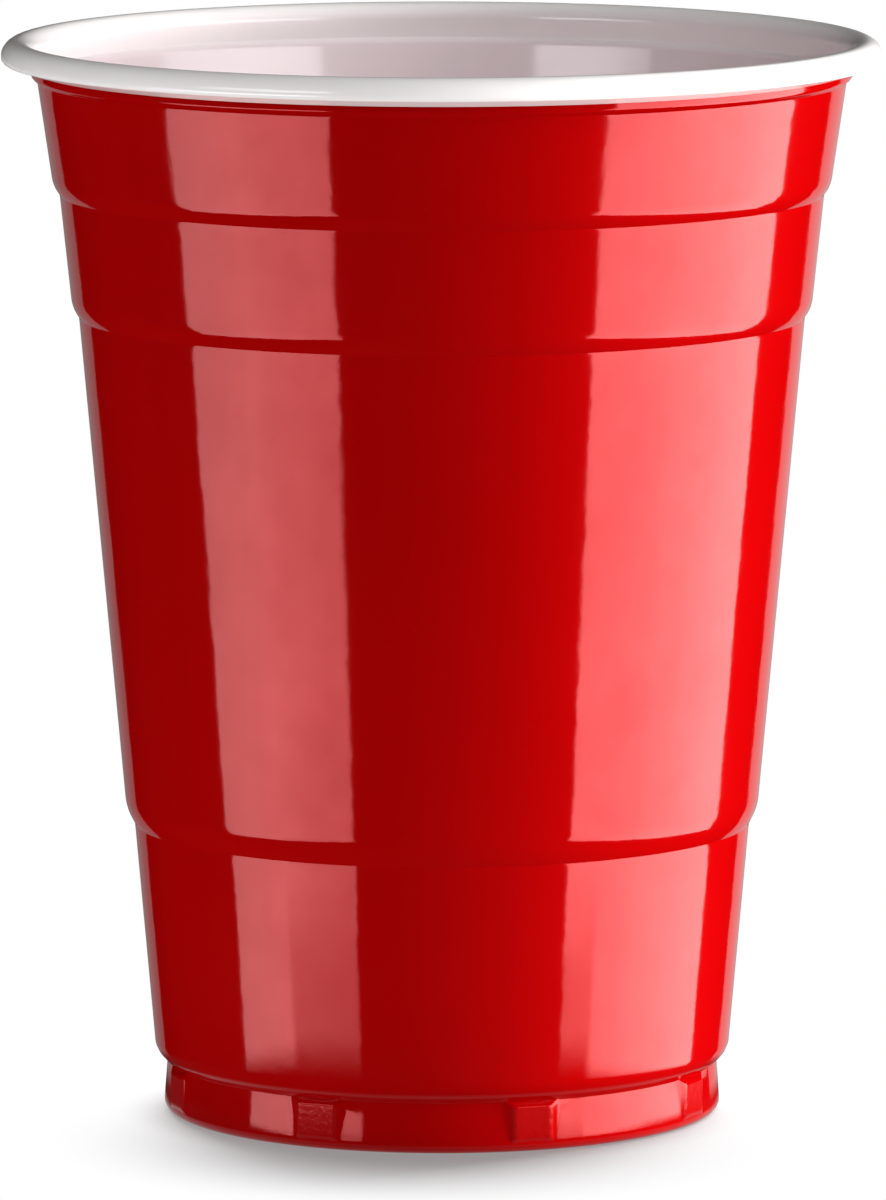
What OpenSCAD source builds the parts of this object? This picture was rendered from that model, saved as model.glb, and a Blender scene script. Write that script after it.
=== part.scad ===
// A party cup formed from one sheet of rigid plastic, red outside and white inside.
// It stands on Z = 0 with its axis on Z. Lengths are millimetres and angles are degrees.
// Radii and diameters are measured on the red face, apart from the rim's, which is white all round.

/* [Overall] */
// Height of the cup over its rolled rim
cup_h = 116.6; // [105:0.1:140]
// Diameter over the rolled rim
rim_d = 95; // [85:0.5:110]
// Thickness of the formed sheet
wall = 0.35; // [0.25:0.05:0.45]

/* [Rolled rim] */
// Width of the roll, from the collar to the rim's outermost point
roll_w = 3.26; // [2.8:0.02:4.2]
// Drop from the rim's top to the roll's lower outer corner
roll_h = 2.4; // [2:0.1:3]
// Rise of the roll's returning leg, from its cut edge to the lower corner
roll_return = 16; // [5:1:20]
// Rounding of the roll's lower corner, on its outside
roll_corner = 0.6; // [0.5:0.05:0.9]
// Gap between the roll's cut edge and the collar
roll_gap = 0.12; // [0.05:0.01:0.3]

/* [Collar under the roll] */
// Drop from the rim's top to the step below the collar
collar_h = 4.42; // [4:0.02:6]
// Depth of the step below the collar
collar_step = 0.62; // [0.4:0.02:0.9]
// Slope of that step, from the upright
collar_slope = 55; // [45:1:65]
// Rounding over that step
collar_round = 0.5; // [0.4:0.1:2]

/* [Upper band] */
// Height of the band below the collar
upper_h = 12.2; // [8:0.1:18]
// Taper of the band, from the upright
upper_taper = 8.4; // [6:0.1:11]
// Depth of the step below the band
upper_step = 0.56; // [0.4:0.02:0.9]
// Slope of that step, from the upright
upper_slope = 37; // [30:1:50]
// Rounding over that step
upper_round = 4.2; // [1:0.1:6]

/* [Grip band] */
// Height of the band below the upper band
grip_h = 13.3; // [8:0.1:20]
// Taper of the band, from the upright
grip_taper = 6.1; // [4:0.1:9]
// Depth of the step below the band
grip_step = 0.61; // [0.4:0.02:0.9]
// Slope of that step, from the upright
grip_slope = 35; // [28:1:50]
// Rounding over that step
grip_round = 4.6; // [1:0.1:7]

/* [Body] */
// Taper of the tall body, from the upright
body_taper = 5.27; // [3:0.01:7]
// Height of the step below the body, above the table
body_z = 31.5; // [20:0.1:50]
// Depth of the step below the body
body_step = 0.76; // [0.4:0.02:1]
// Slope of that step, from the upright
body_slope = 32; // [26:1:45]
// Rounding over that step
body_round = 6.7; // [1:0.1:9]

/* [Heel] */
// Taper of the low band between the body and the heel, from the upright
heel_taper = 5.1; // [3:0.1:7]
// Depth of the undercut below the heel
heel_step = 1.2; // [0.8:0.05:1.5]
// Slope of the undercut, from the upright
heel_slope = 50; // [42:1:60]
// Rounding of the heel
heel_round = 2.6; // [1:0.1:4]
// Rounding in the sharp corner below each step
crease_round = 0.15; // [0.1:0.05:0.4]

/* [Foot] */
// Height of the foot's neck, under the heel
neck_z = 5.5; // [4.8:0.05:7]
// Flare of the foot from its neck to the table, from the upright
foot_flare = 4.6; // [3:0.1:6]
// Width of the folded foot at the table
foot_w = 2.7; // [2.4:0.1:4]
// Rounding of the foot's outer edge
foot_round = 1; // [0.7:0.05:1.2]
// Rounding of the foot's inner edge
foot_inner_round = 0.8; // [0.6:0.05:1]
// Height of the recessed base under the cup
base_z = 3.8; // [3:0.1:5]
// Slope of the foot's inner side, from the upright
base_draft = 12; // [4:1:20]
// Rounding between the foot's inner side and the base
base_round = 0.8; // [0.4:0.05:1.2]

/* [Foot lugs] */
// Number of lugs round the foot
lug_count = 8; // [4:1:12]
// Width of a lug's flat face
lug_face_w = 4.05; // [2.5:0.05:5]
// How far a lug's face stands out from the neck
lug_proud = 0.5; // [0.4:0.02:0.6]
// Slope of a lug's sides, from square to its face
lug_draft = 62; // [45:1:65]
// Drop from the neck to the top edge of a lug's face
lug_drop = 0.5; // [0.4:0.05:0.8]
// Slope of a lug's top, from the upright
lug_top_slope = 40; // [32:1:48]
// Height of a lug's face
lug_h = 3.5; // [2.4:0.1:3.7]
// Slope of a lug's lower end, from the upright
lug_low_slope = 30; // [20:1:40]

/* [Hidden] */
// Facets round the axis
$fn = 180;
// Largest turn of one straight stretch of a rounded corner
arc_step = 9;
// Columns of the table of bands below
HEIGHT = 0;
TAPER = 1;
STEP = 2;
SLOPE = 3;
ROUND = 4;

collar_r = rim_d / 2 - roll_w;
collar_z = cup_h - collar_h;
upper_z = collar_z - upper_h;
grip_z = upper_z - grip_h;

// Each band of the wall, from the top down: the height at which it ends, its taper,
// and the depth, slope and rounding of the step at that end.
bands = [
    [collar_z, 0, collar_step, collar_slope, collar_round],
    [upper_z, upper_taper, upper_step, upper_slope, upper_round],
    [grip_z, grip_taper, grip_step, grip_slope, grip_round],
    [body_z, body_taper, body_step, body_slope, body_round],
    [neck_z, heel_taper, heel_step, heel_slope, heel_round],
];

// Radius of the crease below band i
function crease_r(i) =
    (i == 0 ? collar_r : crease_r(i - 1) - (bands[i - 1][HEIGHT] - bands[i][HEIGHT]) * tan(bands[i][TAPER]))
    - bands[i][STEP];

// Taper of the wall that follows band i. The foot below the heel leans the other way.
function next_taper(i) = i + 1 < len(bands) ? bands[i + 1][TAPER] : -foot_flare;

// Height of the corner over the step of band i, above the crease
function step_rise(i) = bands[i][STEP] / (tan(bands[i][SLOPE]) - tan(bands[i][TAPER]));

// Rounding over the step of band i, as wide as the step has room for
function step_round(i) =
    let (run = step_rise(i) / cos(bands[i][SLOPE]))
    let (crease_run = crease_round * tan((bands[i][SLOPE] - next_taper(i)) / 2))
    min(bands[i][ROUND], (run - crease_run) / tan((bands[i][SLOPE] - bands[i][TAPER]) / 2));

// The two corners of the step of band i, as [radius, height, rounding]
function step_corners(i) = [
    [crease_r(i) + step_rise(i) * tan(bands[i][SLOPE]), bands[i][HEIGHT] + step_rise(i), step_round(i)],
    [crease_r(i), bands[i][HEIGHT], crease_round],
];

// The roll hides the sheet's red face, so its corners lie one wall inside the white ones.
roll_r = rim_d / 2 - wall;
roll_top = cup_h - wall;
roll_end_r = collar_r + roll_gap;
roll_low_z = cup_h - roll_h + wall / cos(roll_return);
roll_round = (roll_r - collar_r) / 2;
roll_corners = [
    [roll_end_r, roll_low_z - (roll_r - roll_end_r) * tan(roll_return), 0],
    [roll_r, roll_low_z, roll_corner - wall],
    [roll_r, roll_top, roll_round],
    [collar_r, roll_top, roll_round],
];

// Below the neck the sheet flares to the table, folds under and rises to the base.
heel_corner = step_corners(len(bands) - 1)[0];
neck_corner = step_corners(len(bands) - 1)[1];
neck_r = neck_corner.x;
foot_r = neck_r + neck_z * tan(foot_flare);
foot_inner_r = foot_r - foot_w;
foot_corners = [
    [foot_r, 0, foot_round],
    [foot_inner_r, 0, foot_inner_round],
    [foot_inner_r - base_z * tan(base_draft), base_z, base_round],
    [0, base_z, 0],
];

wall_corners = [for (i = [0 : len(bands) - 1]) each step_corners(i)];
red_corners = concat(roll_corners, wall_corners, foot_corners);

function flat(corner) = [corner.x, corner.y];
function heading(a, b) = (flat(b) - flat(a)) / norm(flat(b) - flat(a));
function left_of(v) = [-v.y, v.x];
function turned(v, angle) = [v.x * cos(angle) - v.y * sin(angle), v.x * sin(angle) + v.y * cos(angle)];

// The rounded corner b between a and c, shifted to the right of the path by depth
function rounded(a, b, c, depth) =
    let (u = heading(a, b), v = heading(b, c))
    let (turn = atan2(cross(u, v), u * v), side = sign(turn))
    let (centre = flat(b) - u * b.z * tan(abs(turn) / 2) + left_of(u) * side * b.z)
    let (steps = ceil(abs(turn) / arc_step))
    [for (k = [0 : steps]) centre - side * (b.z + side * depth) * left_of(turned(u, turn * k / steps))];

// One face of the sheet, from the roll's cut edge to the axis
function face(corners, depth) =
    let (last = len(corners) - 1)
    concat(
        [flat(corners[0]) - left_of(heading(corners[0], corners[1])) * depth],
        [for (i = [1 : last - 1]) each rounded(corners[i - 1], corners[i], corners[i + 1], depth)],
        [flat(corners[last]) - left_of(heading(corners[last - 1], corners[last])) * depth]
    );

function reversed(points) = [for (i = [len(points) - 1 : -1 : 0]) points[i]];

// The sheet's section, with the red face on one side and the white face on the other
module sheet_section() {
    polygon(concat(face(red_corners, 0), reversed(face(red_corners, wall))));
}

// A path of straight stretches, shifted to its right by depth
function shifted(path, depth) =
    let (last = len(path) - 1)
    [for (i = [0 : last])
        let (u = heading(path[max(i, 1) - 1], path[max(i, 1)]))
        let (v = heading(path[min(i, last - 1)], path[min(i, last - 1) + 1]))
        flat(path[i]) - (left_of(u) + left_of(v)) * depth / (1 + u * v)];

lug_r = neck_r + lug_proud;
lug_top_z = neck_z - lug_drop;
lug_low_z = lug_top_z - lug_h;
// How far a lug is drawn back from its face, which is past the white face of the foot
lug_back = lug_proud + 2 * wall;
// A lug from the side, from its top down, and from above, along its face
lug_side = [
    [lug_r - lug_back, lug_top_z + lug_back / tan(lug_top_slope)],
    [lug_r, lug_top_z],
    [lug_r, lug_low_z],
    [lug_r - lug_back, lug_low_z - lug_back / tan(lug_low_slope)],
];
lug_plan = [
    [lug_r - lug_back, lug_face_w / 2 + lug_back * tan(lug_draft)],
    [lug_r, lug_face_w / 2],
    [lug_r, -lug_face_w / 2],
    [lug_r - lug_back, -lug_face_w / 2 - lug_back * tan(lug_draft)],
];

// A lug as a solid block, sunk below the lug's surface by depth
module lug_block(depth) {
    intersection() {
        rotate([90, 0, 0])
            linear_extrude(2 * lug_r, center = true)
                polygon(shifted(lug_side, depth));
        linear_extrude(2 * lug_r, center = true)
            polygon(shifted(lug_plan, depth));
    }
}

// The room outside the foot, from the heel to the table, and in the foot's sheet down to depth
module foot_room(depth) {
    rotate_extrude()
        polygon(concat(
            shifted([heel_corner, neck_corner, foot_corners[0]], depth),
            [[foot_r + lug_back, 0], [foot_r + lug_back, heel_corner.y]]
        ));
}

// The lugs stand evenly round the foot, with the X and Y axes between two of them.
// They are sunk below their surface by depth, and rooted in the sheet as far as root.
module lugs(depth, root) {
    pitch = 360 / lug_count;
    intersection() {
        foot_room(root);
        for (i = [0 : lug_count - 1])
            rotate([0, 0, (i + 0.5) * pitch])
                lug_block(depth);
    }
}

// The lugs are hollow like the wall: what is sunk by one wall is cut out from inside.
module cup() {
    color("firebrick")
        difference() {
            union() {
                rotate_extrude()
                    sheet_section();
                lugs(0, wall / 2);
            }
            lugs(wall, 1.5 * wall);
        }
}

cup();
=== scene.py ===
# A party cup formed from one sheet of plastic, red outside and white inside, on a pale floor.
import math
from collections import namedtuple

import bmesh
import bpy
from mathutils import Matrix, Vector


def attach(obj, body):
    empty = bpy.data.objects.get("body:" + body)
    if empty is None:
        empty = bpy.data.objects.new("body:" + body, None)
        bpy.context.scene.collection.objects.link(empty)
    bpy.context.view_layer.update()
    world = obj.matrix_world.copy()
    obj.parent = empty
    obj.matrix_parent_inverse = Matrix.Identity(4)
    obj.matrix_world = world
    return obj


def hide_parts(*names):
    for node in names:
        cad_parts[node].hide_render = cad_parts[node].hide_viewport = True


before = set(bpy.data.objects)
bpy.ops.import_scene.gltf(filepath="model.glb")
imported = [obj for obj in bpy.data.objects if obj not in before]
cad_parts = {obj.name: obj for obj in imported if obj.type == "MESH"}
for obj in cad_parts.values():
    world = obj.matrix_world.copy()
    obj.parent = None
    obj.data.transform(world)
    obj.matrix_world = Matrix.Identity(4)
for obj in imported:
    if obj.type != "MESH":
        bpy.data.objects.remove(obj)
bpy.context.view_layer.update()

# Sizes of the cup in millimetres and degrees, the same as in its construction
MM = 0.001
CUP_HEIGHT = 116.6
RIM_RADIUS = 47.5
WALL = 0.35

ROLL_WIDTH = 3.26
ROLL_DROP = 2.4
ROLL_RETURN = 16
ROLL_CORNER = 0.6
ROLL_GAP = 0.12

# Each band of the wall from the top down: the height of the crease that ends it, its taper,
# and the depth, slope and rounding of its step
Band = namedtuple("Band", "crease_height taper depth slope rounding")
BANDS = (
    Band(112.18, 0, 0.62, 55, 0.5),
    Band(99.98, 8.4, 0.56, 37, 4.2),
    Band(86.68, 6.1, 0.61, 35, 4.6),
    Band(31.5, 5.27, 0.76, 32, 6.7),
    Band(5.5, 5.1, 1.2, 50, 2.6),
)
CREASE_ROUND = 0.15
NECK_HEIGHT = BANDS[-1].crease_height

FOOT_FLARE = 4.6
FOOT_WIDTH = 2.7
FOOT_ROUND = 1.0
FOOT_INNER_ROUND = 0.8
BASE_HEIGHT = 3.8
BASE_DRAFT = 12
BASE_ROUND = 0.8

LUG_COUNT = 8
LUG_FACE_WIDTH = 4.05
LUG_PROUD = 0.5
LUG_DRAFT = 62
LUG_BELOW_NECK = 0.5
LUG_FACE_HEIGHT = 3.5
LUG_TOP = NECK_HEIGHT - LUG_BELOW_NECK
LUG_TOP_SLOPE = 40
LUG_LOW = LUG_TOP - LUG_FACE_HEIGHT
LUG_LOW_SLOPE = 30
LUG_EDGE = 0.12
# Below this height the foot's own rounding is kept all round.
LUG_END = 1.1

# How finely the section is cut into rows, and the ring round a lug into columns
ROW_GAP = 9.0
ROW_SUPPORT = 0.3
LUG_ROW_GAP = 0.19
LUG_ROWS_INNER_RADIUS = 29
LUG_ROWS_OVER_NECK = 0.2
LUG_COLUMNS = 36
LUG_CLOSE_SHARE = 7 / 9
LUG_CLOSE_ANGLE = 6.4
MERGE_DISTANCE = 0.005
SHARP_ANGLE = 60

# How far a rounding may turn between two rows, on the red and on the white face
UNROUNDED = (90, 90)
ROLL_LOW_TURN = (40, 9)
ROLL_TOP_TURN = (30, 6)
STEP_TURN = (4, 7)
CREASE_TURN = (10, 16)
FOOT_TURN = (7, 20)
FOOT_INNER_TURN = (8, 20)
BASE_TURN = (9, 9)


def tan(angle):
    return math.tan(math.radians(angle))


# The sheet's section, drawn as the corners of its red face

Corner = namedtuple("Corner", "radius height rounding red_turn white_turn")


def roll_corners(collar_radius):
    outer = RIM_RADIUS - WALL
    top = CUP_HEIGHT - WALL
    low = CUP_HEIGHT - ROLL_DROP + WALL / math.cos(math.radians(ROLL_RETURN))
    end = collar_radius + ROLL_GAP
    rounding = (outer - collar_radius) / 2
    return [
        Corner(end, low - (outer - end) * tan(ROLL_RETURN), 0, *UNROUNDED),
        Corner(outer, low, ROLL_CORNER - WALL, *ROLL_LOW_TURN),
        Corner(outer, top, rounding, *ROLL_TOP_TURN),
        Corner(collar_radius, top, rounding, *ROLL_TOP_TURN),
    ]


def step_corners(collar_radius):
    corners = []
    radius = collar_radius
    above = BANDS[0].crease_height
    for i, (height, taper, depth, slope, rounding) in enumerate(BANDS):
        radius -= (above - height) * tan(taper) + depth
        above = height
        rise = depth / (tan(slope) - tan(taper))
        next_taper = BANDS[i + 1].taper if i + 1 < len(BANDS) else -FOOT_FLARE
        room = rise / math.cos(math.radians(slope)) - CREASE_ROUND * tan((slope - next_taper) / 2)
        rounding = min(rounding, room / tan((slope - taper) / 2))
        corners.append(Corner(radius + rise * tan(slope), height + rise, rounding, *STEP_TURN))
        corners.append(Corner(radius, height, CREASE_ROUND, *CREASE_TURN))
    return corners


def foot_corners(neck_radius):
    outer = neck_radius + NECK_HEIGHT * tan(FOOT_FLARE)
    inner = outer - FOOT_WIDTH
    return [
        Corner(outer, 0, FOOT_ROUND, *FOOT_TURN),
        Corner(inner, 0, FOOT_INNER_ROUND, *FOOT_INNER_TURN),
        Corner(inner - BASE_HEIGHT * tan(BASE_DRAFT), BASE_HEIGHT, BASE_ROUND, *BASE_TURN),
        Corner(0, BASE_HEIGHT, 0, *UNROUNDED),
    ]


def place(corner):
    return Vector((corner.radius, corner.height))


def heading(a, b):
    return (place(b) - place(a)).normalized()


def right_of(v):
    return Vector((v.y, -v.x))


def rounded_corner(a, b, c, depth, turn_step):
    """The rows round corner b, on its way from a to c, sunk below the red face by depth."""
    u, v = heading(a, b), heading(b, c)
    turn = math.atan2(u.x * v.y - u.y * v.x, u.dot(v))
    side = math.copysign(1, turn)
    back = u * b.rounding * math.tan(abs(turn) / 2)
    centre = place(b) - back - right_of(u) * side * b.rounding
    count = max(1, math.ceil(abs(math.degrees(turn)) / turn_step))
    points = []
    for k in range(count + 1):
        angle = turn * k / count
        along = Vector((u.x * math.cos(angle) - u.y * math.sin(angle),
                        u.x * math.sin(angle) + u.y * math.cos(angle)))
        points.append(centre + right_of(along) * side * (b.rounding + side * depth))
    return points


def stretch_between(a, b):
    """Rows on a straight stretch: close to both ends, and closer together where the lugs stand."""
    length = (b - a).length
    on_lugs = min(a.x, b.x) > LUG_ROWS_INNER_RADIUS and max(a.y, b.y) < NECK_HEIGHT + LUG_ROWS_OVER_NECK
    count = math.ceil(length / (LUG_ROW_GAP if on_lugs else ROW_GAP))
    stops = {k / count for k in range(1, count)}
    if length > 4 * ROW_SUPPORT and not on_lugs:
        stops |= {ROW_SUPPORT / length, 1 - ROW_SUPPORT / length}
    return [a.lerp(b, t) for t in sorted(stops)]


def sheet_face(corners, depth):
    """One face of the sheet from the roll's cut edge to the axis, sunk below the red face by depth."""
    first = place(corners[0]) + right_of(heading(corners[0], corners[1])) * depth
    last = place(corners[-1]) + right_of(heading(corners[-2], corners[-1])) * depth
    arcs = [[first]]
    for a, b, c in zip(corners, corners[1:], corners[2:]):
        arcs.append(rounded_corner(a, b, c, depth, b.white_turn if depth else b.red_turn))
    arcs.append([last])
    points = []
    for arc, following in zip(arcs, arcs[1:]):
        points += arc + stretch_between(arc[-1], following[0])
    return points + arcs[-1]


collar_radius = RIM_RADIUS - ROLL_WIDTH
wall_corners = step_corners(collar_radius)
neck_radius = wall_corners[-1].radius
section_corners = roll_corners(collar_radius) + wall_corners + foot_corners(neck_radius)
red_rows = sheet_face(section_corners, 0)
white_rows = sheet_face(section_corners, WALL)


# Node trees

def put(tree, kind, inputs=None, **settings):
    """Adds a node, and links or sets its inputs."""
    node = tree.nodes.new(kind)
    for name, value in settings.items():
        setattr(node, name, value)
    for name, value in (inputs or {}).items():
        if isinstance(value, bpy.types.NodeSocket):
            tree.links.new(value, node.inputs[name])
        else:
            node.inputs[name].default_value = value
    return node


def calc(tree, operation, *values):
    return put(tree, "ShaderNodeMath", dict(enumerate(values)), operation=operation).outputs[0]


def measure(tree, operation, *vectors):
    """A number that is worked out from vectors."""
    return put(tree, "ShaderNodeVectorMath", dict(enumerate(vectors)), operation=operation).outputs["Value"]


def ramp(tree, value, start, end, at_start=0, at_end=1, **settings):
    """A number that goes from at_start to at_end as value goes from start to end."""
    return put(tree, "ShaderNodeMapRange", {
        "Value": value, "From Min": start, "From Max": end, "To Min": at_start, "To Max": at_end},
        **settings).outputs[0]


def mixed(tree, factor, a, b):
    """Shader a where factor is 0, and shader b where it is 1."""
    return put(tree, "ShaderNodeMixShader", {0: factor, 1: a, 2: b}).outputs[0]


# The cup's mesh: the section's rows turned round the axis, with the lugs pushed out of the foot

def lug_reach(tree, size, turn, height, depth):
    """How far out a lug goes at an angle from its middle and a height, sunk below its surface by depth."""
    cos = calc(tree, "COSINE", turn)
    sin = calc(tree, "ABSOLUTE", calc(tree, "SINE", turn))

    def sloped(over, slope):
        drop = calc(tree, "MULTIPLY", over, calc(tree, "TANGENT", slope))
        sunk = calc(tree, "DIVIDE", depth, calc(tree, "COSINE", slope))
        return calc(tree, "SUBTRACT", calc(tree, "SUBTRACT", size["Lug radius"], drop), sunk)

    top = sloped(calc(tree, "SUBTRACT", height, size["Lug top"]), size["Lug top slope"])
    low = sloped(calc(tree, "SUBTRACT", size["Lug low"], height), size["Lug low slope"])
    flat = calc(tree, "SUBTRACT", size["Lug radius"], depth)
    ends = calc(tree, "SMOOTH_MIN", top, low, size["Lug edge"])
    front = calc(tree, "DIVIDE", calc(tree, "SMOOTH_MIN", flat, ends, size["Lug edge"]), cos)

    draft = calc(tree, "TANGENT", size["Lug draft"])
    half = calc(tree, "MULTIPLY", size["Lug face width"], 0.5)
    wide = calc(tree, "MULTIPLY_ADD", size["Lug radius"], draft, half)
    wide = calc(tree, "SUBTRACT", wide, calc(tree, "DIVIDE", depth, calc(tree, "COSINE", size["Lug draft"])))
    sides = calc(tree, "DIVIDE", wide, calc(tree, "MULTIPLY_ADD", draft, cos, sin))
    return calc(tree, "SMOOTH_MIN", front, sides, size["Lug edge"])


def turned_face(tree, size, first_row, rows, depth):
    """A grid with a row for each point of one face of the section and a column for each turn of the ring."""
    columns = calc(tree, "MULTIPLY", size["Lugs"], size["Columns per lug"])
    row_span = calc(tree, "SUBTRACT", rows, 1)
    grid = put(tree, "GeometryNodeMeshGrid", {
        "Size X": row_span,
        "Size Y": columns,
        "Vertices X": rows,
        "Vertices Y": calc(tree, "ADD", columns, 1)})
    flat = put(tree, "ShaderNodeSeparateXYZ", {0: put(tree, "GeometryNodeInputPosition").outputs[0]})
    row = calc(tree, "ROUND", calc(tree, "MULTIPLY_ADD", row_span, 0.5, flat.outputs["X"]))
    column = calc(tree, "ROUND", calc(tree, "MULTIPLY_ADD", columns, 0.5, flat.outputs["Y"]))

    # Columns stand close together across a lug and further apart between two lugs.
    in_lugs = calc(tree, "DIVIDE", column, size["Columns per lug"])
    share = calc(tree, "MULTIPLY_ADD", calc(tree, "FRACT", in_lugs), 2, -1)
    away = calc(tree, "ABSOLUTE", share)
    pitch = calc(tree, "DIVIDE", math.tau, size["Lugs"])
    near = calc(tree, "MULTIPLY", calc(tree, "MINIMUM", away, size["Close share"]),
                calc(tree, "DIVIDE", size["Close angle"], size["Close share"]))
    far_angle = calc(tree, "SUBTRACT", calc(tree, "MULTIPLY", pitch, 0.5), size["Close angle"])
    far_share = calc(tree, "DIVIDE", calc(tree, "SUBTRACT", away, size["Close share"]),
                     calc(tree, "SUBTRACT", 1, size["Close share"]))
    far = calc(tree, "MULTIPLY", calc(tree, "MAXIMUM", far_share, 0), far_angle)
    turn = calc(tree, "MULTIPLY", calc(tree, "SIGN", share), calc(tree, "ADD", near, far))
    lug_angle = calc(tree, "MULTIPLY", pitch, calc(tree, "ADD", calc(tree, "FLOOR", in_lugs), 0.5))
    angle = calc(tree, "ADD", lug_angle, turn)

    spot = put(tree, "GeometryNodeSampleIndex", {
        "Geometry": size["Section"],
        "Value": put(tree, "GeometryNodeInputPosition").outputs[0],
        "Index": calc(tree, "ADD", row, first_row)}, data_type="FLOAT_VECTOR", domain="POINT")
    spot = put(tree, "ShaderNodeSeparateXYZ", {0: spot.outputs[0]})
    radius, height = spot.outputs["X"], spot.outputs["Z"]
    lug = calc(tree, "SMOOTH_MAX", radius, lug_reach(tree, size, turn, height, depth), size["Lug edge"])
    on_foot = calc(tree, "MULTIPLY", calc(tree, "GREATER_THAN", radius, size["Lug root"]),
                   calc(tree, "GREATER_THAN", height, size["Lug end"]))
    radius = calc(tree, "MULTIPLY_ADD", on_foot, calc(tree, "SUBTRACT", lug, radius), radius)
    round_spot = put(tree, "ShaderNodeCombineXYZ", {
        "X": calc(tree, "MULTIPLY", radius, calc(tree, "COSINE", angle)),
        "Y": calc(tree, "MULTIPLY", radius, calc(tree, "SINE", angle)),
        "Z": height})
    return put(tree, "GeometryNodeSetPosition", {
        "Geometry": grid.outputs["Mesh"], "Position": round_spot.outputs[0]}).outputs[0]


SHEET_INPUTS = {
    "Section": "NodeSocketGeometry",
    "Red rows": "NodeSocketInt",
    "White rows": "NodeSocketInt",
    "Wall": "NodeSocketFloat",
    "Lugs": "NodeSocketInt",
    "Columns per lug": "NodeSocketInt",
    "Close share": "NodeSocketFloat",
    "Close angle": "NodeSocketFloat",
    "Lug root": "NodeSocketFloat",
    "Lug radius": "NodeSocketFloat",
    "Lug face width": "NodeSocketFloat",
    "Lug draft": "NodeSocketFloat",
    "Lug top": "NodeSocketFloat",
    "Lug top slope": "NodeSocketFloat",
    "Lug low": "NodeSocketFloat",
    "Lug low slope": "NodeSocketFloat",
    "Lug end": "NodeSocketFloat",
    "Lug edge": "NodeSocketFloat",
    "Red finish": "NodeSocketMaterial",
    "White finish": "NodeSocketMaterial",
}


def formed_sheet_tree():
    """The node tree that turns the two faces of the section, closes them into one sheet and colours them."""
    tree = bpy.data.node_groups.new("formed_sheet", "GeometryNodeTree")
    for name, kind in SHEET_INPUTS.items():
        tree.interface.new_socket(name, in_out="INPUT", socket_type=kind)
    tree.interface.new_socket("Sheet", in_out="OUTPUT", socket_type="NodeSocketGeometry")
    size = put(tree, "NodeGroupInput").outputs
    red = turned_face(tree, size, 0, size["Red rows"], 0)
    white = turned_face(tree, size, size["Red rows"], size["White rows"], size["Wall"])
    white = put(tree, "GeometryNodeStoreNamedAttribute", {
        "Geometry": white, "Name": "white_side", "Value": True},
        data_type="BOOLEAN", domain="FACE").outputs[0]
    both = put(tree, "GeometryNodeJoinGeometry")
    tree.links.new(white, both.inputs[0])
    tree.links.new(red, both.inputs[0])
    whole = put(tree, "GeometryNodeMergeByDistance", {
        "Geometry": both.outputs[0], "Distance": MERGE_DISTANCE * MM})
    smooth = put(tree, "GeometryNodeSetShadeSmooth", {"Geometry": whole.outputs[0]})
    real = put(tree, "GeometryNodeRealizeInstances", {"Geometry": smooth.outputs[0]})
    on_white = put(tree, "GeometryNodeInputNamedAttribute", {"Name": "white_side"}, data_type="BOOLEAN")
    painted = put(tree, "GeometryNodeSetMaterial", {
        "Geometry": real.outputs[0], "Material": size["Red finish"]})
    painted = put(tree, "GeometryNodeSetMaterial", {
        "Geometry": painted.outputs[0],
        "Selection": on_white.outputs["Attribute"],
        "Material": size["White finish"]})
    tree.links.new(painted.outputs[0], put(tree, "NodeGroupOutput").inputs[0])
    return tree


def formed_cup(red, white):
    """The cup as a plain closed mesh, from its section and the node tree that turns it."""
    rows = red_rows + white_rows[::-1]
    # The cut edge joins the two faces, so the white face ends on the red face's first row.
    rows.append(red_rows[0])
    section = bpy.data.meshes.new("cup_section")
    section.from_pydata([(p.x * MM, 0, p.y * MM) for p in rows], [], [])
    cup = bpy.data.objects.new("cup_sheet", section)
    bpy.context.scene.collection.objects.link(cup)
    tree = formed_sheet_tree()
    values = {
        "Red rows": len(red_rows),
        "White rows": len(rows) - len(red_rows),
        "Wall": WALL * MM,
        "Lugs": LUG_COUNT,
        "Columns per lug": LUG_COLUMNS,
        "Close share": LUG_CLOSE_SHARE,
        "Close angle": math.radians(LUG_CLOSE_ANGLE),
        "Lug root": (neck_radius - 2 * WALL) * MM,
        "Lug radius": (neck_radius + LUG_PROUD) * MM,
        "Lug face width": LUG_FACE_WIDTH * MM,
        "Lug draft": math.radians(LUG_DRAFT),
        "Lug top": LUG_TOP * MM,
        "Lug top slope": math.radians(LUG_TOP_SLOPE),
        "Lug low": LUG_LOW * MM,
        "Lug low slope": math.radians(LUG_LOW_SLOPE),
        "Lug end": LUG_END * MM,
        "Lug edge": LUG_EDGE * MM,
        "Red finish": red,
        "White finish": white,
    }
    modifier = cup.modifiers.new("formed_sheet", "NODES")
    modifier.node_group = tree
    for socket in tree.interface.items_tree:
        if socket.in_out == "INPUT" and socket.name in values:
            modifier[socket.identifier] = values[socket.name]
    evaluated = cup.evaluated_get(bpy.context.evaluated_depsgraph_get())
    mesh = bpy.data.meshes.new_from_object(evaluated)
    cup.modifiers.clear()
    cup.data = mesh
    # The section came without a finish, which leaves an empty first slot.
    if mesh.materials[0] is None:
        mesh.materials.pop(index=0)
    mesh.name = "cup_sheet"
    shell = bmesh.new()
    shell.from_mesh(mesh)
    bmesh.ops.recalc_face_normals(shell, faces=shell.faces)
    if shell.calc_volume(signed=True) < 0:
        bmesh.ops.reverse_faces(shell, faces=shell.faces)
    shell.to_mesh(mesh)
    shell.free()
    mesh.set_sharp_from_angle(angle=math.radians(SHARP_ANGLE))
    return cup


# Finishes. Colours are linear, and lengths are in metres.
PLASTIC_IOR = 1.52
BUMP_DISTANCE = 0.0004

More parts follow.
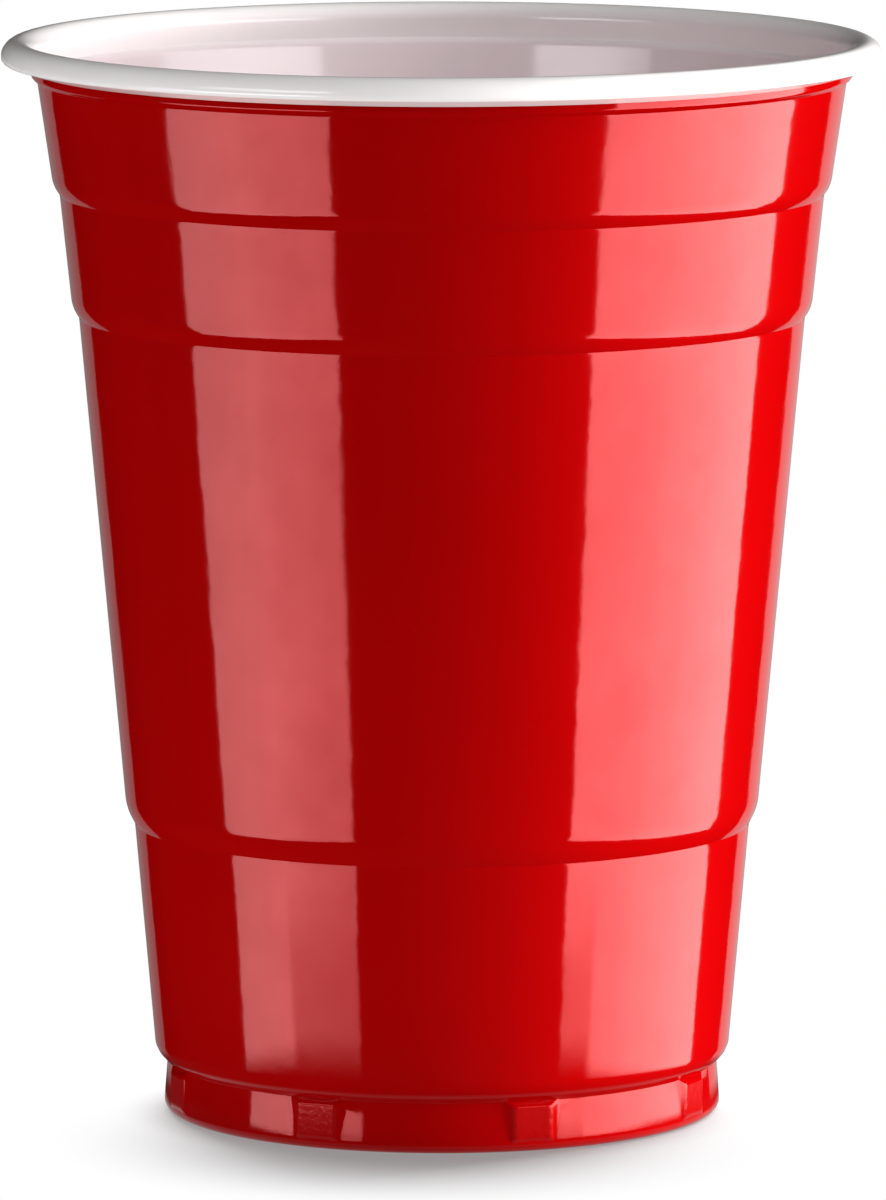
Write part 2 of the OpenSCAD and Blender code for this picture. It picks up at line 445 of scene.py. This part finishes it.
RED_SHADES = ((0.325, 0.0003, 0.0006), (0.35, 0.0004, 0.0009))
RED_ROUGHNESS = (0.05, 0.08)
RED_SHINE = (0.37, 0.60)
RED_SHINE_TINT = (1.0, 0.28, 0.28, 1)
RED_BUMP = 0.07
RED_GRAIN = 0.12

# The radii between which a lug's matt face begins, and the height where it ends
LUG_MATT_FROM = (0.03024, 0.03031)
LUG_MATT_TOP = 0.0048
LUG_MATT_ROUGHNESS = 0.13
LUG_MATT_GRAIN = 1.5

WALL_SHADES = ((0.865, 0.73, 0.75), (0.885, 0.76, 0.78))
RIM_WHITE = (0.92, 0.895, 0.88)
# The radii between which the wall's white turns into the rim's
RIM_WHITE_FROM = (0.0432, 0.0446)
WHITE_ROUGHNESS = (0.09, 0.13)
WHITE_BUMP = 0.04

# Patterns in the plastic, and the middle part of the range that they cover
CLOUDS = {"scale": 38, "detail": 3}
GLOSS_PATCHES = {"scale": 90, "detail": 3}
RIPPLE = {"scale": 160, "detail": 2}
GRAIN = {"scale": 1500, "detail": 2}
MOTTLE = {"scale": 75, "detail": 8, "rough": 0.75}
PATTERN_LOW = 0.25
PATTERN_HIGH = 0.75

# Places of the two colours and of the result among a mix node's sockets
MIX_COLOURS = (6, 7)
MIX_RESULT = 2


def empty_finish(name):
    material = bpy.data.materials.new(name)
    material.use_nodes = True
    tree = material.node_tree
    tree.nodes.clear()
    return material, tree, put(tree, "ShaderNodeTexCoord").outputs["Object"]


def plastic_finish(name):
    material, tree, spot = empty_finish(name)
    shader = put(tree, "ShaderNodeBsdfPrincipled", {"IOR": PLASTIC_IOR})
    put(tree, "ShaderNodeOutputMaterial", {"Surface": shader.outputs[0]})
    return material, tree, shader, spot


def pattern(tree, spot, scale, detail, rough=0.5):
    return put(tree, "ShaderNodeTexNoise", {
        "Vector": spot, "Scale": scale, "Detail": detail, "Roughness": rough}).outputs["Fac"]


def patchy(tree, factor, low, high):
    """A value that goes from low to high over the range that a pattern covers."""
    return ramp(tree, factor, PATTERN_LOW, PATTERN_HIGH, low, high)


def colour_mix(tree, factor, *colours):
    node = tree.nodes.new("ShaderNodeMix")
    node.data_type = "RGBA"
    tree.links.new(factor, node.inputs[0])
    for index, value in zip(MIX_COLOURS, colours):
        if isinstance(value, bpy.types.NodeSocket):
            tree.links.new(value, node.inputs[index])
        else:
            node.inputs[index].default_value = (*value, 1)
    return node.outputs[MIX_RESULT]


def radius_and_height(tree, spot):
    level = put(tree, "ShaderNodeVectorMath", {0: spot, 1: (1, 1, 0)}, operation="MULTIPLY").outputs[0]
    return measure(tree, "LENGTH", level), put(tree, "ShaderNodeSeparateXYZ", {0: spot}).outputs["Z"]


def red_plastic():
    material, tree, shader, spot = plastic_finish("red_plastic")
    clouds = patchy(tree, pattern(tree, spot, **CLOUDS), 0, 1)
    tree.links.new(colour_mix(tree, clouds, *RED_SHADES), shader.inputs["Base Color"])
    # The lugs' faces are matt, as the mould leaves them, and only they lie so far out below the neck.
    radius, height = radius_and_height(tree, spot)
    on_lug = ramp(tree, radius, *LUG_MATT_FROM)
    on_lug = calc(tree, "MULTIPLY", on_lug, calc(tree, "LESS_THAN", height, LUG_MATT_TOP))
    gloss = patchy(tree, pattern(tree, spot, **GLOSS_PATCHES), *RED_ROUGHNESS)
    gloss = calc(tree, "MULTIPLY_ADD", on_lug, LUG_MATT_ROUGHNESS, gloss)
    tree.links.new(gloss, shader.inputs["Roughness"])
    ripple = pattern(tree, spot, **RIPPLE)
    grain = pattern(tree, spot, **GRAIN)
    grain_share = calc(tree, "MULTIPLY_ADD", on_lug, LUG_MATT_GRAIN, RED_GRAIN)
    relief = calc(tree, "MULTIPLY_ADD", grain, grain_share, ripple)
    bump = put(tree, "ShaderNodeBump", {"Strength": RED_BUMP, "Distance": BUMP_DISTANCE, "Height": relief})
    tree.links.new(bump.outputs[0], shader.inputs["Normal"])
    shine = patchy(tree, pattern(tree, spot, **MOTTLE), *RED_SHINE)
    tree.links.new(shine, shader.inputs["Specular IOR Level"])
    shader.inputs["Specular Tint"].default_value = RED_SHINE_TINT
    return material


def white_plastic():
    material, tree, shader, spot = plastic_finish("white_plastic")
    radius, _ = radius_and_height(tree, spot)
    # The white layer is drawn thin in the wall, where some of the red shows through.
    clouds = patchy(tree, pattern(tree, spot, **CLOUDS), 0, 1)
    wall = colour_mix(tree, clouds, *WALL_SHADES)
    white = colour_mix(tree, ramp(tree, radius, *RIM_WHITE_FROM), wall, RIM_WHITE)
    tree.links.new(white, shader.inputs["Base Color"])
    gloss = patchy(tree, pattern(tree, spot, **GLOSS_PATCHES), *WHITE_ROUGHNESS)
    tree.links.new(gloss, shader.inputs["Roughness"])
    ripple = pattern(tree, spot, **RIPPLE)
    bump = put(tree, "ShaderNodeBump", {"Strength": WHITE_BUMP, "Distance": BUMP_DISTANCE, "Height": ripple})
    tree.links.new(bump.outputs[0], shader.inputs["Normal"])
    return material


# The set: camera, floor, lamps and surroundings, in metres. Azimuths count from the camera, to its right.
WHITE = (1, 1, 1, 1)
CAMERA_AZIMUTH = 3.8
CAMERA_DISTANCE = 1.288
CAMERA_HEIGHT = 0.2324
AIM_HEIGHT = 0.05553
AIM_RIGHT = 0.00012
CAMERA_LENS = 359.8
CAMERA_SENSOR = 36

FLOOR_HALF = 3.0
FLOOR_GREY = (0.25, 0.25, 0.25, 1)
# A painted glow that lifts the floor's shadow
FLOOR_PAINTED_SHADOW_LIFT = 0.27
# Distances over which something fades in on the floor, and its strength at the two of them if not 0 and 1
# Painted edge of the shadow: past these distances from a point in front of the foot and from the axis, white
# covers it
PAINTED_SHADOW_FADE = (0.012, 0.042)
PAINTED_CONTACT_SHADOW_FADE = (0.028, 0.036)
# Painted bounce light: the floor's glow for soft light, with painted shade close to the foot and fading
# further off
PAINTED_BOUNCE_NEAR = (0.030, 0.055, 0.4, 1)
PAINTED_BOUNCE_FAR = (0.06, 0.25, 1.25, 0.65)
# Painted shade and a painted bright ring round the foot, which only reflections see
PAINTED_FOOT_REFLECTION = (0.031, 0.034, 0.4, 0.02)
MIRRORED_BESIDE = (0.041, 0.053)
MIRRORED_BEFORE_NEAR = (0.052, 0.070, 0, 0.6)
MIRRORED_BEFORE_FAR = (0.080, 0.125, 0, 0.4)
MIRRORED_WEDGE_EDGE = (0.0165, 0.0205)
MIRRORED_WEDGE_SLOPE = -0.55
# Azimuth and distance of the middles of the painted shadow as seen, and of the painted shade as mirrored
PAINTED_SHADOW_MIDDLE = (-6, 0.020)
PAINTED_MIRRORED_SHADE_MIDDLE = (-11, 0.015)

BACKDROP_LIGHT = 1.0
ROOM_LIGHT = 0.1
MIRRORED_ROOM_LIGHT = 0.0

# A panel keeps its full brightness up to here, as a share of its width, and then changes towards a side.
PANEL_MIDDLE = 0.45
OVERHEAD_SPREAD = 3


def toward(azimuth, distance, height=0):
    angle = math.radians(CAMERA_AZIMUTH + azimuth)
    return Vector((distance * math.sin(angle), -distance * math.cos(angle), height))


def floor_finish():
    """A white table top. The camera sees the cup's shadow near the foot, lifted by a painted glow, and white
    further off past a painted edge.
    A painted glow off it, dimmer near the foot, stands for soft bounce light on the cup. In reflections only
    painted shade close round the foot shows, with a painted bright ring at the foot, and the lamps beyond it
    show through. From below the floor is clear."""
    material, tree, spot = empty_finish("table_white")
    from_middle = measure(tree, "LENGTH", spot)

    def fade(span, distance=from_middle):
        return ramp(tree, distance, *span, interpolation_type="SMOOTHSTEP")

    def glow(strength):
        return put(tree, "ShaderNodeEmission", {"Color": WHITE, "Strength": strength}).outputs[0]

    clear = put(tree, "ShaderNodeBsdfTransparent").outputs[0]
    top = put(tree, "ShaderNodeBsdfDiffuse", {"Color": FLOOR_GREY}).outputs[0]
    shaded = put(tree, "ShaderNodeAddShader", {0: top, 1: glow(FLOOR_PAINTED_SHADOW_LIFT)}).outputs[0]
    # The shadow is lit for real, but where it shows is painted by distance, and white covers it further off.
    from_painted_shadow = measure(tree, "DISTANCE", spot, toward(*PAINTED_SHADOW_MIDDLE))
    bright = calc(tree, "MULTIPLY", fade(PAINTED_SHADOW_FADE, from_painted_shadow), fade(PAINTED_CONTACT_SHADOW_FADE))
    below = put(tree, "ShaderNodeNewGeometry").outputs["Backfacing"]
    seen = mixed(tree, below, mixed(tree, bright, shaded, glow(BACKDROP_LIGHT)), clear)

    # Painted bounce light: soft light off the floor is a glow, with painted shade near the foot
    painted_bounce = glow(calc(tree, "MULTIPLY", fade(PAINTED_BOUNCE_NEAR), fade(PAINTED_BOUNCE_FAR)))

    # The painted shade in reflections reaches further out in front of the cup, between the two panels, than
    # at its sides.
    ahead = measure(tree, "DOT_PRODUCT", spot, toward(0, 1))
    aside = calc(tree, "ABSOLUTE", measure(tree, "DOT_PRODUCT", spot, toward(90, 1)))
    in_wedge = calc(tree, "MULTIPLY_ADD", aside, MIRRORED_WEDGE_SLOPE, ahead)
    in_front = fade(MIRRORED_WEDGE_EDGE, in_wedge)
    beside = fade(MIRRORED_BESIDE, measure(tree, "DISTANCE", spot, toward(*PAINTED_MIRRORED_SHADE_MIDDLE)))
    before = calc(tree, "ADD", fade(MIRRORED_BEFORE_NEAR), fade(MIRRORED_BEFORE_FAR))
    through = calc(tree, "MULTIPLY_ADD", in_front, calc(tree, "SUBTRACT", before, beside), beside)
    # Painted shade close round the foot, with a painted bright ring at its edge, and clear beyond
    mirrored = mixed(tree, through, glow(fade(PAINTED_FOOT_REFLECTION)), clear)

    path = put(tree, "ShaderNodeLightPath").outputs
    on_mirrored = calc(tree, "MAXIMUM", path["Is Glossy Ray"], path["Is Shadow Ray"])
    unseen = mixed(tree, on_mirrored, painted_bounce, mirrored)
    put(tree, "ShaderNodeOutputMaterial", {"Surface": mixed(tree, path["Is Camera Ray"], unseen, seen)})
    return material


def set_floor():
    mesh = bpy.data.meshes.new("floor")
    corners = [(-FLOOR_HALF, -FLOOR_HALF, 0), (FLOOR_HALF, -FLOOR_HALF, 0),
               (FLOOR_HALF, FLOOR_HALF, 0), (-FLOOR_HALF, FLOOR_HALF, 0)]
    mesh.from_pydata(corners, [], [(0, 1, 2, 3)])
    floor = bpy.data.objects.new("floor", mesh)
    bpy.context.scene.collection.objects.link(floor)
    mesh.materials.append(floor_finish())
    return floor


def face_to(thing, target):
    thing.rotation_euler = (target - thing.location).to_track_quat("-Z", "Y").to_euler()


def set_camera():
    data = bpy.data.cameras.new("camera")
    data.sensor_width = CAMERA_SENSOR
    data.lens = CAMERA_LENS
    camera = bpy.data.objects.new("camera", data)
    bpy.context.scene.collection.objects.link(camera)
    camera.location = toward(0, CAMERA_DISTANCE, CAMERA_HEIGHT)
    face_to(camera, toward(90, AIM_RIGHT, AIM_HEIGHT))
    bpy.context.scene.camera = camera


def softbox(name, azimuth, distance, height, wide, tall, radiance, aim_height=None, mirrored_only=False,
            sides=None):
    """A flat lamp that looks at the cup's axis. Radiance is how bright its face looks,
    and sides are the shares of it at its left and right side, as it looks at the cup.
    A lamp shows in reflections if it is mirrored only, and otherwise only gives soft light."""
    data = bpy.data.lights.new(name, "AREA")
    data.shape = "RECTANGLE"
    data.size, data.size_y = wide, tall
    data.energy = radiance * math.pi * wide * tall
    lamp = bpy.data.objects.new(name, data)
    bpy.context.scene.collection.objects.link(lamp)
    lamp.location = toward(azimuth, distance, height)
    face_to(lamp, Vector((0, 0, height if aim_height is None else aim_height)))
    lamp.visible_camera = False
    lamp.visible_diffuse = not mirrored_only
    lamp.visible_glossy = mirrored_only
    if sides:
        data.use_nodes = True
        tree = data.node_tree
        spot = put(tree, "ShaderNodeNewGeometry").outputs["Parametric"]
        across = put(tree, "ShaderNodeSeparateXYZ", {0: spot}).outputs["X"]
        shares = [ramp(tree, across, PANEL_MIDDLE, side, 1, share) for side, share in enumerate(sides)]
        tree.links.new(calc(tree, "MULTIPLY", *shares), tree.nodes["Emission"].inputs["Strength"])
    return lamp


def light_only(lamp, thing):
    lit = bpy.data.collections.new(lamp.name + "_lights")
    lit.objects.link(thing)
    lamp.light_linking.receiver_collection = lit


def set_lamps(cup, floor):
    # The panels and the high and back lamps draw the stripes in the gloss.
    softbox("left_panel", azimuth=-57.6, distance=0.4, height=-0.0775, wide=0.388, tall=0.155,
            radiance=7.3, mirrored_only=True, sides=(0.6, 0.82))
    softbox("right_panel", azimuth=82.45, distance=0.4, height=-0.04, wide=0.5665, tall=0.28,
            radiance=9.2, mirrored_only=True, sides=(1, 0.45))
    softbox("left_high", azimuth=-47, distance=1.0, height=0.31, wide=0.68, tall=0.22,
            radiance=4.5, mirrored_only=True, sides=(0.4, 1))
    softbox("right_high", azimuth=64, distance=1.0, height=0.31, wide=1.02, tall=0.22,
            radiance=4.5, mirrored_only=True, sides=(1, 0.5))
    softbox("left_back", azimuth=-160, distance=1.0, height=-0.25, wide=0.42, tall=0.6,
            radiance=0.25, mirrored_only=True)
    softbox("right_back", azimuth=160, distance=1.0, height=-0.25, wide=0.42, tall=0.6,
            radiance=0.5, mirrored_only=True)
    front_wall = softbox("front_wall", azimuth=-12, distance=1.2, height=0.58, wide=2.0, tall=0.6,
                         radiance=1.05, aim_height=0.1)
    top_front = softbox("top_front", azimuth=35, distance=0.75, height=1.0, wide=0.9, tall=0.7,
                        radiance=1.9, aim_height=0.1)
    left_fill = softbox("left_fill", azimuth=-80, distance=1.2, height=0.03, wide=0.8, tall=0.25,
                        radiance=7.6, aim_height=0.1)
    high_key = softbox("high_key", azimuth=87, distance=1.2, height=0.55, wide=0.7, tall=0.5,
                       radiance=9.2, aim_height=0.06)
    low_key = softbox("low_key", azimuth=89, distance=1.2, height=0.10, wide=0.7, tall=0.2,
                      radiance=70.0, aim_height=0.06)
    # A narrow beam from above reaches the bottom of the cup and not its rim.
    overhead = softbox("overhead", azimuth=0, distance=0, height=0.8, wide=0.05, tall=0.05,
                       radiance=0.6, aim_height=0)
    overhead.data.spread = math.radians(OVERHEAD_SPREAD)
    for lamp in (front_wall, top_front, left_fill, high_key, low_key, overhead):
        light_only(lamp, cup)
    back_light = softbox("back_light", azimuth=165, distance=1.2, height=0.6, wide=2.2, tall=0.8,
                         radiance=40.0, aim_height=0)
    light_only(back_light, floor)


def set_world():
    """White behind the cup for the camera, a dark room in reflections, and an even grey for soft light."""
    world = bpy.data.worlds.new("studio")
    bpy.context.scene.world = world
    world.use_nodes = True
    tree = world.node_tree
    tree.nodes.clear()

    def glow(strength):
        return put(tree, "ShaderNodeBackground", {"Color": WHITE, "Strength": strength}).outputs[0]

    path = put(tree, "ShaderNodeLightPath").outputs
    unseen = mixed(tree, path["Is Glossy Ray"], glow(ROOM_LIGHT), glow(MIRRORED_ROOM_LIGHT))
    surroundings = mixed(tree, path["Is Camera Ray"], unseen, glow(BACKDROP_LIGHT))
    put(tree, "ShaderNodeOutputWorld", {"Surface": surroundings})


cup = formed_cup(red_plastic(), white_plastic())
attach(cup, "root")
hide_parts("cup")

set_camera()
set_lamps(cup, set_floor())
set_world()
bpy.context.scene.view_settings.view_transform = "Standard"
